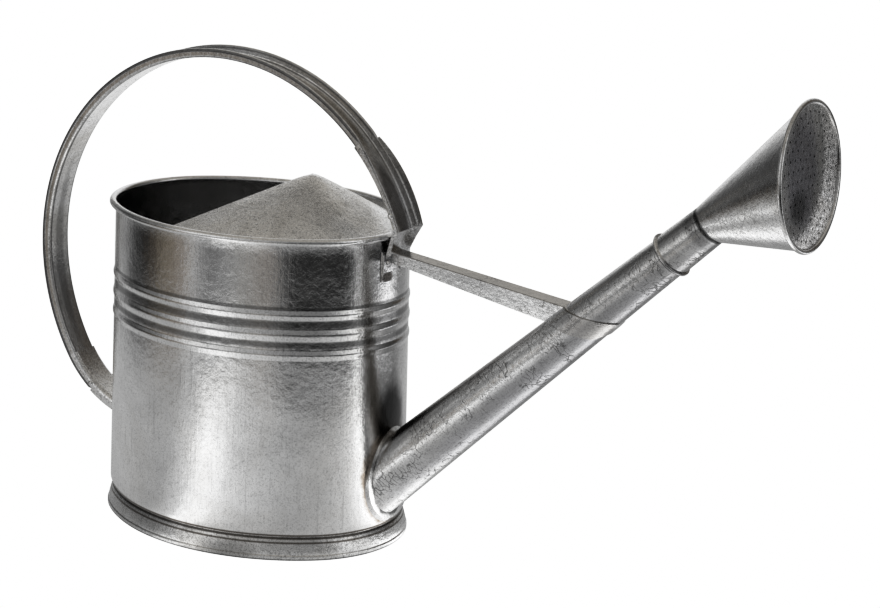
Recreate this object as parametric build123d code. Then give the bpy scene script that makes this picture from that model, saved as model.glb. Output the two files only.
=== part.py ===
from build123d import *
import os
from math import atan2, cos, degrees, radians, sin, tan

# A galvanised watering can in millimetres. The origin is the centre of the plane that the
# foot ring stands on, +X runs towards the spout and +Z is up.

# ---- driving dimensions -------------------------------------------------------------
SHEET = 0.7             # sheet steel of the can, the hood and the foot
FIT = 0.05              # soldered or clinched seam between two sheets
REACH = 200.0           # longer than any cut that has to pass right through

# Oval can: four tangent arcs, measured at the outside of the wall just under the rim
HALF_LENGTH = 105.0
HALF_WIDTH = 81.75
END_RADIUS = 67.5
RIM_HEIGHT = 216.6
WALL_FLARE = 2.8        # how much further out the wall stands at its foot
RIM_BEAD_RADIUS = 2.4
WALL_FOOT = 17.0        # lower edge of the wall, above the ground
WALL_FOOT_INSET = 1.3   # how far that edge is drawn in
RIB_DEPTHS = (51.0, 64.3, 77.6)       # the crests of the three ribs, below the rim
RIB_WIDTHS = (6.5, 8.0, 6.5)
RIB_RISE = 0.9

# Foot ring and bottom
FOOT_HEIGHT = 13.5
FOOT_SWELL_HEIGHT = 5.5 # above this the foot slopes in to the wall
FOOT_OUT = 4.8          # how far the foot's hem stands outside the rim oval
FOOT_HEM = 3.4
SEAM_LAP = 8.0

# Hood: half a cone over the spout side of the mouth
HOOD_BASE = RIM_HEIGHT - 6.6
HOOD_APEX_X = HALF_LENGTH - 65.0
HOOD_APEX_Z = RIM_HEIGHT + 29.4
HOOD_END_X = HALF_LENGTH - 132.0      # where its cut edge meets the rim
HOOD_NOSE_RADIUS = 9.0
HOOD_SKIRT = 7.0
HOOD_DROOP = 1.25       # vertical thickness of the sloping sheet, in sheets

# Handle: a trough-shaped strap, open outwards, with rolled edges
HOOP_X, HOOP_Z = -27.0, RIM_HEIGHT - 49.8
HOOP_OUTER = HALF_LENGTH + 48.2
HOOP_FRONT_ANGLE = 20.0
HOOP_REAR_ANGLE = 211.7
STRAP_WIDTH = 21.2
STRAP_DEPTH = 6.5
STRAP_SHEET = 0.8
STRAP_CORNER = 2.2
STRAP_ROLL_RADIUS = 1.3
TAIL_OUTER = 80.0       # tighter arc at the lower rear end
TAIL_ROLL_TURN = 21.0   # along the tail: end of the rolled edges, of the strap, of the bracket
TAIL_LAP_TURN = 26.0
TAIL_END_TURN = 50.0

# Brackets that hold the handle, and their rivets
BRACKET_SHEET = 1.0
FRONT_LAP_TURN = 24.0
FAR_CHEEK_RIM = (2.0, 2.9, 2.5, 0.2)      # its edge beyond the hoop's rim, at four even turns
NEAR_CHEEK_RIM = (-3.4, -3.4, -3.2, -0.8)
FAR_CHEEK_KNEE, NEAR_CHEEK_KNEE = 9.0, 5.4    # how far the cheeks stand off the wall at the knee
CHEEK_KNEE_RISE = 8.0
CHEEK_FOOT = 4.0
PLATE_HALF_WIDTH = 14.0
FRONT_PLATE_DEPTHS = (32.6, 12.6)     # its edges, below the rim
REAR_PLATE_DEPTHS = (88.3, 52.3)      # its edges, below the centre of the tail's arc
RIVET_RADIUS = 1.2
RIVET_HEAD_RADIUS = 2.0
RIVET_HEAD_RISE = 1.1
FAR_RIVET_DEPTH, NEAR_RIVET_DEPTH, TAIL_RIVET_DEPTH = 2.6, 5.0, 4.2     # below the strap's rim
FRONT_RIVET_TURN, TAIL_RIVET_TURN = 4.4, 20.0
REAR_PLATE_RIVET_TURN = 6.8           # round the end of the oval
REAR_PLATE_RIVET_RISE = 4.5
BRACE_RIVET_TURN = 8.1
BRACE_RIVET_DEPTH = 20.6              # below the rim

# Spout: a tapered tube that leaves the can low down
SPOUT_X, SPOUT_Z = HALF_LENGTH + 35.0, 80.74      # a point of its axis
SPOUT_ANGLE = 43.04
SPOUT_RADIUS = 19.32                  # outside, at that point
SPOUT_TAPER = 0.02775                 # radius lost in each millimetre of length
SPOUT_SHEET = 0.7
SPOUT_START = -75.0
SPOUT_END = 243.0
ROOT_BEAD_WIDTH = 3.0
ROOT_BEAD_RISE = 2.6

# Brace between the can and the spout: a channel, open downwards
BRACE_SHEET = 0.8
BRACE_START_X, BRACE_END_X = HALF_LENGTH - 5.0, HALF_LENGTH + 145.0
BRACE_END_ABOVE_AXIS = 3.75           # its top there, above the spout's axis
BRACE_DEPTHS = (7.3, 14.9)
BRACE_WIDTHS = (10.3, 13.4)
TAB_DEPTHS = (26.1, 14.6)             # the tabs' edges, below the rim
TAB_REACH = 13.6
SADDLE_OUTLINE = ((74.0, 98.3), (117.0, 91.5), (126.5, 95.5), (131.5, 102.9), (86.0, 109.9))

# Rose: collar, cone, perforated plate and rolled rim
COLLAR_START, COLLAR_END = 221.0, 254.5
COLLAR_SHEET = 0.6
COLLAR_CLEARANCE = 0.06
COLLAR_LIP_RADIUS = 0.9
NECK_CLEARANCE = 0.1
NECK_LENGTH = 7.5
SEAM_GAP = 0.3
ROSE_X, ROSE_Z = SPOUT_X + 247.2, SPOUT_Z + 212.26
ROSE_TILT = 4.77
ROSE_RIM_RADIUS = 44.15
ROSE_BEAD_RADIUS = 1.6
ROSE_SHEET = 0.6
ROSE_HOLE_RADIUS = 0.75
ROSE_RINGS = 6
ROSE_RING_PITCH = 6.4

# ---- the oval -----------------------------------------------------------------------
END_CENTRE = HALF_LENGTH - END_RADIUS
BREADTH_EXCESS = HALF_WIDTH - END_RADIUS
SIDE_CENTRE = (END_CENTRE**2 - BREADTH_EXCESS**2) / (2 * BREADTH_EXCESS)
SIDE_RADIUS = HALF_WIDTH + SIDE_CENTRE
END_SPAN = 2 * degrees(atan2(SIDE_CENTRE, END_CENTRE))
OVAL_ARCS = (
    (END_CENTRE, 0.0, END_RADIUS, 0.0, END_SPAN),
    (0.0, -SIDE_CENTRE, SIDE_RADIUS, 90.0, 180.0 - END_SPAN),
    (-END_CENTRE, 0.0, END_RADIUS, 180.0, END_SPAN),
    (0.0, SIDE_CENTRE, SIDE_RADIUS, 270.0, 180.0 - END_SPAN),
)


def around_oval(section):
    """Carry a face round the oval: its x is the distance outside the oval, its y the height."""
    upright = Plane.XZ * section
    pieces = []
    for centre_x, centre_y, radius, middle, span in OVAL_ARCS:
        piece = revolve(Pos(radius, 0, 0) * upright, Axis.Z, span)
        pieces.append(Pos(centre_x, centre_y, 0) * Rot(0, 0, middle - span / 2) * piece)
    return pieces[0].fuse(*pieces[1:])


def oval_face(out):
    """The filled oval that stands a given distance outside the rim oval."""
    return make_face([
        CenterArc((centre_x, centre_y), radius + out, middle - span / 2, span)
        for centre_x, centre_y, radius, middle, span in OVAL_ARCS
    ])


def rect(x_min, x_max, y_min, y_max):
    """A rectangle from its limits."""
    return Pos((x_min + x_max) / 2, (y_min + y_max) / 2) * Rectangle(x_max - x_min, y_max - y_min)


def wall_out(z):
    """How far the plain wall's outer face stands outside the rim oval at height z."""
    return WALL_FLARE * (RIM_HEIGHT - z) / (RIM_HEIGHT - WALL_FOOT)


def sheet_section(path, thickness):
    """The section of a sheet whose outer face follows the path, thickened inwards."""
    outer = path.edges()
    inner = (Pos(-thickness, 0) * path).edges()
    top = Line(outer[0] @ 0, inner[0] @ 0)
    foot = Line(outer[-1] @ 1, inner[-1] @ 1)
    return make_face([*outer, *inner, top, foot])


def oval_band(out_low, out_high, z_low, z_high):
    """A band that follows the slope of the can's wall, between two distances from its face."""
    corners = [
        (wall_out(z_low) + out_low, z_low),
        (wall_out(z_low) + out_high, z_low),
        (wall_out(z_high) + out_high, z_high),
        (wall_out(z_high) + out_low, z_high),
    ]
    return around_oval(make_face(Polyline(*corners, close=True)))


# ---- can ----------------------------------------------------------------------------
ROLL_Z = RIM_HEIGHT - RIM_BEAD_RADIUS
ROLL_OUT = RIM_BEAD_RADIUS - SHEET
FOOT_INSIDE = wall_out(WALL_FOOT) - WALL_FOOT_INSET - SHEET - FIT     # inside the wall's foot
LEDGE = WALL_FOOT - WALL_FOOT_INSET - SHEET                           # where the wall ends


def body_wall():
    """The wall with its three swaged ribs, its rolled rim and its drawn-in lower edge."""
    above = ROLL_Z
    path = []
    for rib_depth, rib_width in zip(RIB_DEPTHS, RIB_WIDTHS):
        crest_z = RIM_HEIGHT - rib_depth
        start, end = crest_z + rib_width / 2, crest_z - rib_width / 2
        path.append(Line((wall_out(above), above), (wall_out(start), start)))
        crest = (wall_out(crest_z) + RIB_RISE, crest_z)
        path.append(ThreePointArc((wall_out(start), start), crest, (wall_out(end), end)))
        above = end
    bend = WALL_FOOT + 2 * WALL_FOOT_INSET
    path.append(Line((wall_out(above), above), (wall_out(bend), bend)))
    edge = (wall_out(WALL_FOOT) - WALL_FOOT_INSET, WALL_FOOT - WALL_FOOT_INSET)
    path.append(Line((wall_out(bend), bend), edge))
    wall = around_oval(sheet_section(Curve(path), SHEET))
    roll = Circle(RIM_BEAD_RADIUS) - Circle(RIM_BEAD_RADIUS - SHEET)
    return wall + around_oval(Pos(ROLL_OUT, ROLL_Z) * roll)


def rim_wire():
    """The wire inside the rolled rim."""
    return around_oval(Pos(ROLL_OUT, ROLL_Z) * Circle(RIM_BEAD_RADIUS - SHEET - FIT))


def foot_ring():
    """The swelled foot, with a hem below and an upright that laps inside the wall."""
    swell = FOOT_OUT - SHEET
    path = Polyline(
        (FOOT_INSIDE, WALL_FOOT + SEAM_LAP),
        (FOOT_INSIDE, LEDGE),
        (FOOT_INSIDE + SHEET, FOOT_HEIGHT),
        (swell, FOOT_SWELL_HEIGHT),
        (swell, 0.0),
    )
    return around_oval(sheet_section(path, SHEET)) + around_oval(rect(swell, FOOT_OUT, 0, FOOT_HEM))


def bottom_plate():
    """The bottom: a flat pan whose flange stands up inside the foot ring's upright."""
    edge = FOOT_INSIDE - SHEET - FIT
    flange = around_oval(rect(edge - SHEET, edge, LEDGE, WALL_FOOT + SEAM_LAP))
    return Pos(0, 0, LEDGE) * extrude(oval_face(edge), SHEET) + flange


def hood():
    """Half a cone whose skirt stands inside the wall, cut back to a nose on the ridge."""
    inside = -SHEET - FIT
    apex = Vertex(HOOD_APEX_X, 0, HOOD_APEX_Z)
    outer = loft([Pos(0, 0, HOOD_BASE) * oval_face(inside), apex])
    shell = outer - Pos(0, 0, -SHEET * HOOD_DROOP) * outer
    skirt = around_oval(rect(inside - SHEET, inside, HOOD_BASE - HOOD_SKIRT, HOOD_BASE + FIT))
    end_y = HALF_WIDTH * (1 - (HOOD_END_X / HALF_LENGTH) ** 2) ** 0.5
    run = HOOD_END_X - HOOD_APEX_X
    outline = make_face(Polyline(
        (HOOD_APEX_X, 0), (HOOD_APEX_X + 2 * run, -2 * end_y),
        (REACH, -REACH), (REACH, REACH), (HOOD_APEX_X + 2 * run, 2 * end_y),
        close=True,
    ))
    nose = outline.vertices().sort_by_distance((HOOD_APEX_X, 0))[0]
    outline = fillet(nose, HOOD_NOSE_RADIUS)
    return (shell + skirt) & extrude(outline, 2 * REACH)


# ---- handle and its brackets ---------------------------------------------------------
HOOP_INNER = HOOP_OUTER - STRAP_DEPTH
TAIL_X = HOOP_X + (HOOP_OUTER - TAIL_OUTER) * cos(radians(HOOP_REAR_ANGLE))
TAIL_Z = HOOP_Z + (HOOP_OUTER - TAIL_OUTER) * sin(radians(HOOP_REAR_ANGLE))
TAIL_INNER = TAIL_OUTER - STRAP_DEPTH
BRACKET_WIDTH = STRAP_WIDTH + 2 * (BRACKET_SHEET + FIT)
FRONT_PLATE_LOW, FRONT_PLATE_HIGH = (RIM_HEIGHT - depth for depth in FRONT_PLATE_DEPTHS)
REAR_PLATE_LOW, REAR_PLATE_HIGH = (TAIL_Z - depth for depth in REAR_PLATE_DEPTHS)
BRACE_RIVET_Z = RIM_HEIGHT - BRACE_RIVET_DEPTH
REAR_PLATE_RIVET_Z = REAR_PLATE_LOW + REAR_PLATE_RIVET_RISE


def trough(width, depth, sheet, corner):
    """A trough section: x is the depth from its back, y runs across it."""
    outer = rect(0, depth, -width / 2, width / 2)
    outer = fillet(outer.vertices().sort_by(Axis.X)[:2], corner)
    inner = rect(sheet, 2 * depth, -width / 2 + sheet, width / 2 - sheet)
    inner = fillet(inner.vertices().sort_by(Axis.X)[:2], corner - sheet)
    return outer - inner


def bend_round(section, centre_x, centre_z, radius, start, end):
    """Carry a section round a level axis, its x measured outwards from the given radius."""
    axis = Axis((centre_x, 0, centre_z), (0, -1, 0))
    piece = revolve(Pos(centre_x + radius, 0, centre_z) * section, axis, end - start)
    return piece.rotate(axis, start)


def round_hoop(section, start, end):
    """Carry a section along the hoop, its x measured outwards from the strap's back."""
    return bend_round(section, HOOP_X, HOOP_Z, HOOP_INNER, start, end)


def round_tail(section, start_turn, end_turn):
    """Carry a section along the tail, between two turns from the hoop's rear end."""
    start, end = HOOP_REAR_ANGLE + start_turn, HOOP_REAR_ANGLE + end_turn
    return bend_round(section, TAIL_X, TAIL_Z, TAIL_INNER, start, end)


def on_hoop(out, angle):
    """A point (x, z) that stands a given distance outside the hoop's rim."""
    radius = HOOP_OUTER + out
    return HOOP_X + radius * cos(radians(angle)), HOOP_Z + radius * sin(radians(angle))


def on_tail(out, turn):
    """A point (x, z) that stands a given distance outside the tail's rim."""
    radius, angle = TAIL_OUTER + out, radians(HOOP_REAR_ANGLE + turn)
    return TAIL_X + radius * cos(angle), TAIL_Z + radius * sin(angle)


FAR_RIVET = on_hoop(-FAR_RIVET_DEPTH, HOOP_FRONT_ANGLE + FRONT_RIVET_TURN)
NEAR_RIVET = on_hoop(-NEAR_RIVET_DEPTH, HOOP_FRONT_ANGLE + FRONT_RIVET_TURN)
TAIL_RIVET = on_tail(-TAIL_RIVET_DEPTH, TAIL_RIVET_TURN)


def cheek_bore(place, side):
    """A bar across one half of the can, at the place (x, z), to bore what a rivet holds."""
    return Pos(place[0], side * REACH / 2, place[1]) * Rot(90, 0, 0) * Cylinder(RIVET_RADIUS, REACH)


def beyond_cheek(rim, side):
    """Everything outside a front cheek's edge, on one side of the can."""
    last = len(rim) - 1
    turns = [HOOP_FRONT_ANGLE + FRONT_LAP_TURN * step / last for step in range(last + 1)]
    edge = [on_hoop(out, turn) for out, turn in zip(rim, turns)]
    low = on_hoop(rim[0], HOOP_FRONT_ANGLE - FRONT_LAP_TURN)
    away = [on_hoop(REACH, turns[-1]), on_hoop(REACH, HOOP_FRONT_ANGLE - FRONT_LAP_TURN)]
    outline = make_face([
        Spline(*edge), Line(edge[-1], away[0]), Line(*away), Line(away[1], low), Line(low, edge[0])
    ])
    return extrude(Plane.XZ * outline, -side * REACH)


def handle_hoop():
    """The strap: the hoop, its rolled edges and the tighter tail inside the rear bracket."""
    section = trough(STRAP_WIDTH, STRAP_DEPTH - STRAP_ROLL_RADIUS, STRAP_SHEET, STRAP_CORNER)
    strap = round_hoop(section, HOOP_FRONT_ANGLE, HOOP_REAR_ANGLE)
    strap += round_tail(section, 0, TAIL_LAP_TURN)
    strap -= beyond_cheek(NEAR_CHEEK_RIM, -1)
    roll_start = HOOP_FRONT_ANGLE + FRONT_LAP_TURN + 1
    roll_y = STRAP_WIDTH / 2 - STRAP_SHEET / 2
    roll = Pos(STRAP_DEPTH - STRAP_ROLL_RADIUS, roll_y) * Circle(STRAP_ROLL_RADIUS)
    for edge in (roll, mirror(roll, Plane.XZ)):
        strap += round_hoop(edge, roll_start, HOOP_REAR_ANGLE)
        strap += round_tail(edge, 0, TAIL_ROLL_TURN)
    strap -= cheek_bore(NEAR_RIVET, -1) + cheek_bore(FAR_RIVET, 1)
    return strap - cheek_bore(TAIL_RIVET, -1) - cheek_bore(TAIL_RIVET, 1)


def wall_plate(half_width, z_low, z_high, side):
    """A plate formed to the can's wall, at its front (side 1) or its back (side -1)."""
    x_from, x_to = sorted((0, side * REACH))
    keep = extrude(rect(x_from, x_to, -half_width, half_width), 2 * REACH)
    return oval_band(0, BRACKET_SHEET, z_low, z_high) & keep


def wall_stock():
    """The room inside the can's outer face, thick enough to trim whatever runs up against it."""
    return oval_band(-HALF_WIDTH / 3, 0, 0, RIM_HEIGHT)


def bracket_trough(depth):
    """The bracket's trough section, which holds the strap's trough inside it."""
    corner = STRAP_CORNER + BRACKET_SHEET
    section = trough(BRACKET_WIDTH, depth + BRACKET_SHEET + FIT, BRACKET_SHEET, corner)
    return Pos(-BRACKET_SHEET - FIT, 0) * section


def front_cheek(rim, knee_out, side):
    """The flat lower part of a front cheek, from the strap's end down to the wall plate."""
    plate_x = HALF_LENGTH + wall_out(FRONT_PLATE_HIGH)
    back = -STRAP_DEPTH - BRACKET_SHEET - FIT
    outline = make_face(Polyline(
        on_hoop(back, HOOP_FRONT_ANGLE + 1), on_hoop(back, HOOP_FRONT_ANGLE),
        (plate_x, FRONT_PLATE_HIGH - CHEEK_FOOT), (plate_x + CHEEK_FOOT, FRONT_PLATE_HIGH - CHEEK_FOOT / 2),
        (plate_x + knee_out, FRONT_PLATE_HIGH + CHEEK_KNEE_RISE),
        on_hoop(rim, HOOP_FRONT_ANGLE), on_hoop(rim, HOOP_FRONT_ANGLE + 1),
        close=True,
    ))
    middle = side * (BRACKET_WIDTH - BRACKET_SHEET) / 2
    return Pos(0, middle, 0) * extrude(Plane.XZ * outline, BRACKET_SHEET / 2, both=True)


def front_web():
    """The web between the front cheeks, from the strap's end down to the wall plate."""
    back = -STRAP_DEPTH - BRACKET_SHEET - FIT
    high, low = on_hoop(back, HOOP_FRONT_ANGLE + 1), on_hoop(back, HOOP_FRONT_ANGLE)
    foot = (HALF_LENGTH + wall_out(FRONT_PLATE_HIGH), FRONT_PLATE_HIGH - CHEEK_FOOT)
    path = (high, low, foot)
    outline = make_face(Polyline(*path, *((x + BRACKET_SHEET, z) for x, z in reversed(path)), close=True))
    return extrude(Plane.XZ * outline, BRACKET_WIDTH / 2, both=True)


def front_bracket():
    """Front ear: a trough round the strap's end, two cheeks and a web down to a wall plate."""
    ear = bracket_trough(STRAP_DEPTH + max(FAR_CHEEK_RIM) + 1)
    ear = round_hoop(ear, HOOP_FRONT_ANGLE, HOOP_FRONT_ANGLE + FRONT_LAP_TURN)
    ear -= beyond_cheek(NEAR_CHEEK_RIM, -1) + beyond_cheek(FAR_CHEEK_RIM, 1)
    bracket = ear + front_web() + wall_plate(PLATE_HALF_WIDTH, FRONT_PLATE_LOW, FRONT_PLATE_HIGH, 1)
    bracket += front_cheek(NEAR_CHEEK_RIM[0], NEAR_CHEEK_KNEE, -1)
    bracket += front_cheek(FAR_CHEEK_RIM[0], FAR_CHEEK_KNEE, 1)
    bores = cheek_bore(NEAR_RIVET, -1) + cheek_bore(FAR_RIVET, 1) + brace_rivet_bores()
    return (bracket - wall_stock() - bores).solids().sort_by(SortBy.VOLUME)[-1]


def rear_bracket():
    """Rear ear: a trough that follows the strap's tail to a plate on the back wall."""
    under_rolls = STRAP_DEPTH - 2 * STRAP_ROLL_RADIUS - FIT
    ear = round_tail(bracket_trough(under_rolls), 1, TAIL_ROLL_TURN + 1)
    ear += round_tail(bracket_trough(STRAP_DEPTH), TAIL_ROLL_TURN + 1, TAIL_END_TURN) - wall_stock()
    plate = wall_plate(PLATE_HALF_WIDTH, REAR_PLATE_LOW, REAR_PLATE_HIGH, -1)
    bores = cheek_bore(TAIL_RIVET, -1) + cheek_bore(TAIL_RIVET, 1) + rear_plate_bores()
    return (ear + plate - bores).solids().sort_by(SortBy.VOLUME)[-1]


def rivet(length):
    """A rivet along Z: a domed head on its shank, and a flat upset at the far end."""
    dome_radius = (RIVET_HEAD_RADIUS**2 + RIVET_HEAD_RISE**2) / (2 * RIVET_HEAD_RISE)
    dome = Pos(0, 0, RIVET_HEAD_RISE - dome_radius) * Sphere(dome_radius)
    head = dome & Pos(0, 0, REACH / 2) * Box(REACH, REACH, REACH)
    upset_radius = (RIVET_HEAD_RADIUS + RIVET_RADIUS) / 2
    upset = Pos(0, 0, -length - RIVET_HEAD_RISE / 4) * Cylinder(upset_radius, RIVET_HEAD_RISE / 2)
    shank = Pos(0, 0, -length / 2) * Cylinder(RIVET_RADIUS, length)
    return head + shank + upset


def formed(rivets, *sheets):
    """A pair of rivets, their heads drawn down onto the sheets that they hold."""
    pair = []
    for solid in rivets:
        for sheet in sheets:
            solid = solid - sheet
        pair.append(solid.solids().sort_by(SortBy.VOLUME)[-1])
    return Compound(pair)


def cheek_rivets(near_place, far_place):
    """The pair of rivets through the bracket's cheeks and the strap's walls."""
    length = BRACKET_SHEET + FIT + STRAP_SHEET
    pair = []
    for side, (x, z) in ((-1, near_place), (1, far_place)):
        pair.append(Pos(x, side * BRACKET_WIDTH / 2, z) * Rot(-side * 90, 0, 0) * rivet(length))
    return pair


def wall_rivets(x_side, turn, z, layers):
    """The pair of rivets through what lies on the wall and the wall itself."""
    pair = []
    for side in (-1, 1):
        placed = Pos(END_RADIUS + wall_out(z) + layers, 0, z) * Rot(0, 90, 0) * rivet(layers + SHEET)
        placed = Pos(END_CENTRE, 0, 0) * Rot(0, 0, side * turn) * placed
        pair.append(placed if x_side > 0 else mirror(placed, Plane.YZ))
    return pair


def wall_bores(x_side, turn, z):
    """Bars where a pair of wall rivets passes, to bore the sheets."""
    bar = Pos(END_RADIUS, 0, z) * Rot(0, 90, 0) * Cylinder(RIVET_RADIUS, END_RADIUS / 2)
    bars = Pos(END_CENTRE, 0, 0) * (Rot(0, 0, turn) * bar + Rot(0, 0, -turn) * bar)
    return bars if x_side > 0 else mirror(bars, Plane.YZ)


def brace_rivet_bores():
    """Bores for the two rivets that hold the brace's tabs, the front plate and the wall."""
    return wall_bores(1, BRACE_RIVET_TURN, BRACE_RIVET_Z)


def rear_plate_bores():
    """Bores for the two rivets that hold the rear plate to the wall."""
    return wall_bores(-1, REAR_PLATE_RIVET_TURN, REAR_PLATE_RIVET_Z)


# ---- spout and brace -----------------------------------------------------------------
SPOUT_PLANE = Plane(
    origin=(SPOUT_X, 0, SPOUT_Z),
    x_dir=(0, 1, 0),
    z_dir=(cos(radians(SPOUT_ANGLE)), 0, sin(radians(SPOUT_ANGLE))),
)


def spout_radius(along):
    """The spout's outer radius at a distance along its axis."""
    return SPOUT_RADIUS - SPOUT_TAPER * along


def spout_cone(start, end, out):
    """A solid cone about the spout's axis that stands a given distance outside the spout."""
    low, high = spout_radius(start) + out, spout_radius(end) + out
    return SPOUT_PLANE * Pos(0, 0, (start + end) / 2) * Cone(low, high, end - start)


def spout_sleeve(start, end, out_low, out_high):
    """A tapered sleeve between two distances from the spout's outer face."""
    return spout_cone(start, end, out_high) - spout_cone(start - 1, end + 1, out_low)


def spout_tube():
    """The tapered spout, trimmed where it meets the can's wall."""
    tube = spout_sleeve(SPOUT_START, SPOUT_END, -SPOUT_SHEET, 0) - wall_stock()
    return tube.solids().sort_by(SortBy.VOLUME)[-1]


def spout_bore():
    """The way for the water from the can into the spout."""
    return spout_cone(SPOUT_START, 0, -SPOUT_SHEET)


def spout_root_bead():
    """The bead that closes the seam between the spout and the can."""
    band = oval_band(0, ROOT_BEAD_RISE, FOOT_HEIGHT / 2, RIM_HEIGHT - RIB_DEPTHS[-1])
    return spout_sleeve(SPOUT_START, 0, 0, ROOT_BEAD_WIDTH) & band


def brace_block(inset):
    """The brace's block between its two end sections, with its sides and its top moved in."""
    end_rise = (BRACE_END_X - SPOUT_X) * tan(radians(SPOUT_ANGLE)) + BRACE_END_ABOVE_AXIS
    tops = (FRONT_PLATE_HIGH, SPOUT_Z + end_rise)
    faces = []
    for x, top, depth, width in zip((BRACE_START_X, BRACE_END_X), tops, BRACE_DEPTHS, BRACE_WIDTHS):
        plane = Plane(origin=(x, 0, 0), x_dir=(0, 1, 0), z_dir=(1, 0, 0))
        half = width / 2 - inset
        faces.append(plane * rect(-half, half, top - depth - inset, top - inset))
    return loft(faces)


def brace(bracket):
    """The brace: channel, tabs on the can's bracket and flaps hugging the spout."""
    channel = brace_block(0) - brace_block(BRACE_SHEET)
    channel = channel - oval_band(-HALF_WIDTH / 3, BRACKET_SHEET, FRONT_PLATE_LOW, RIM_HEIGHT)
    channel = channel - spout_cone(0, SPOUT_END, 0)
    tab_low, tab_high = (RIM_HEIGHT - depth for depth in TAB_DEPTHS)
    tabs = oval_band(BRACKET_SHEET, BRACKET_SHEET + BRACE_SHEET, tab_low, tab_high)
    inner = BRACE_WIDTHS[0] / 2 - BRACE_SHEET
    keep = extrude(rect(0, REACH, inner, TAB_REACH), 2 * REACH)
    tabs = (tabs & keep) + (tabs & mirror(keep, Plane.XZ))
    corners = [(SPOUT_X + x, SPOUT_Z + z) for x, z in SADDLE_OUTLINE]
    flap = extrude(Plane.XZ * make_face(Polyline(*corners, close=True)), REACH, both=True)
    saddle = spout_sleeve(0, SPOUT_END, 0, BRACE_SHEET) & flap
    whole = channel + tabs + saddle - bracket - brace_rivet_bores()
    return whole.solids().sort_by(SortBy.VOLUME)[-1]


# ---- rose ----------------------------------------------------------------------------
NECK_RADIUS = spout_radius(COLLAR_END) + COLLAR_CLEARANCE - NECK_CLEARANCE
CONE_RADIUS = spout_radius(COLLAR_END) + COLLAR_CLEARANCE + COLLAR_SHEET
CONE_START = COLLAR_END + SEAM_GAP
ROSE_PLANE = Plane(
    origin=(ROSE_X, 0, ROSE_Z),
    x_dir=(0, 1, 0),
    z_dir=(cos(radians(ROSE_TILT)), 0, sin(radians(ROSE_TILT))),
)


def rose_collar():
    """The tapered socket that pushes onto the spout, with a rolled lip."""
    sleeve = spout_sleeve(COLLAR_START, COLLAR_END, COLLAR_CLEARANCE, COLLAR_CLEARANCE + COLLAR_SHEET)
    lip_radius = spout_radius(COLLAR_START) + COLLAR_CLEARANCE + COLLAR_SHEET / 2 + COLLAR_LIP_RADIUS
    lip = SPOUT_PLANE * Pos(0, 0, COLLAR_START + COLLAR_LIP_RADIUS) * Torus(lip_radius, COLLAR_LIP_RADIUS)
    return sleeve + lip


def cone_solid(inset):
    """The rose's oblique cone, from the collar's end to the rim, with its side moved in."""
    low = SPOUT_PLANE * Pos(0, 0, CONE_START) * Circle(CONE_RADIUS - inset)
    high = ROSE_PLANE * Circle(ROSE_RIM_RADIUS - inset)
    return loft([low, high])


def rose_cone():
    """The rose's cone with the short neck that turns inside the collar."""
    neck_start = COLLAR_END - NECK_LENGTH
    neck_height = CONE_START + ROSE_SHEET - neck_start
    middle = SPOUT_PLANE * Pos(0, 0, neck_start + neck_height / 2)
    bore = NECK_RADIUS - ROSE_SHEET
    neck = middle * (Cylinder(NECK_RADIUS, neck_height) - Cylinder(bore, 2 * neck_height))
    shoulder = SPOUT_PLANE * Pos(0, 0, CONE_START + ROSE_SHEET / 2)
    shoulder *= Cylinder(CONE_RADIUS, ROSE_SHEET) - Cylinder(bore, 2 * ROSE_SHEET)
    shell = cone_solid(0) - cone_solid(ROSE_SHEET)
    return shell + neck + shoulder - ROSE_PLANE * Torus(ROSE_RIM_RADIUS, ROSE_BEAD_RADIUS)


def rose_rim_bead():
    """The rolled rim of the rose."""
    return ROSE_PLANE * Torus(ROSE_RIM_RADIUS, ROSE_BEAD_RADIUS)


def rose_plate():
    """The perforated plate inside the rim, with its holes in rings."""
    plate = Cylinder(ROSE_RIM_RADIUS, ROSE_SHEET)
    hole = Cylinder(ROSE_HOLE_RADIUS, 3 * ROSE_SHEET)
    holes = [hole]
    for ring in range(1, ROSE_RINGS + 1):
        holes += PolarLocations(ring * ROSE_RING_PITCH, 6 * ring) * hole
    plate -= holes
    return ROSE_PLANE * plate - rose_rim_bead()


# ---- the nodes -----------------------------------------------------------------------
can_wall = body_wall() - spout_bore() - brace_rivet_bores() - rear_plate_bores()
strap = handle_hoop()
front_ear, rear_ear = front_bracket(), rear_bracket()
can_brace = brace(front_ear)
brace_rivets = wall_rivets(1, BRACE_RIVET_TURN, BRACE_RIVET_Z, BRACKET_SHEET + BRACE_SHEET)
plate_rivets = wall_rivets(-1, REAR_PLATE_RIVET_TURN, REAR_PLATE_RIVET_Z, BRACKET_SHEET)
nodes = {
    "body_wall": can_wall,
    "rim_wire": rim_wire(),
    "foot_ring": foot_ring(),
    "bottom_plate": bottom_plate(),
    "hood": hood(),
    "handle_hoop": strap,
    "front_bracket": front_ear,
    "rear_bracket": rear_ear,
    "front_handle_rivets": formed(cheek_rivets(NEAR_RIVET, FAR_RIVET), strap, front_ear),
    "rear_handle_rivets": formed(cheek_rivets(TAIL_RIVET, TAIL_RIVET), strap, rear_ear),
    "brace_rivets": formed(brace_rivets, can_brace, front_ear, can_wall),
    "rear_plate_rivets": formed(plate_rivets, rear_ear, can_wall),
    "spout_tube": spout_tube(),
    "spout_root_bead": spout_root_bead(),
    "brace": can_brace,
    "rose_collar": rose_collar(),
    "rose_cone": rose_cone(),
    "rose_plate": rose_plate(),
    "rose_rim_bead": rose_rim_bead(),
}
os.makedirs("parts", exist_ok=True)
for name, shape in nodes.items():
    shape.label = name
    export_step(shape, os.path.join("parts", name + ".step"))
    print(name, len(shape.solids()), round(shape.volume, 1), shape.is_valid)
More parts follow.
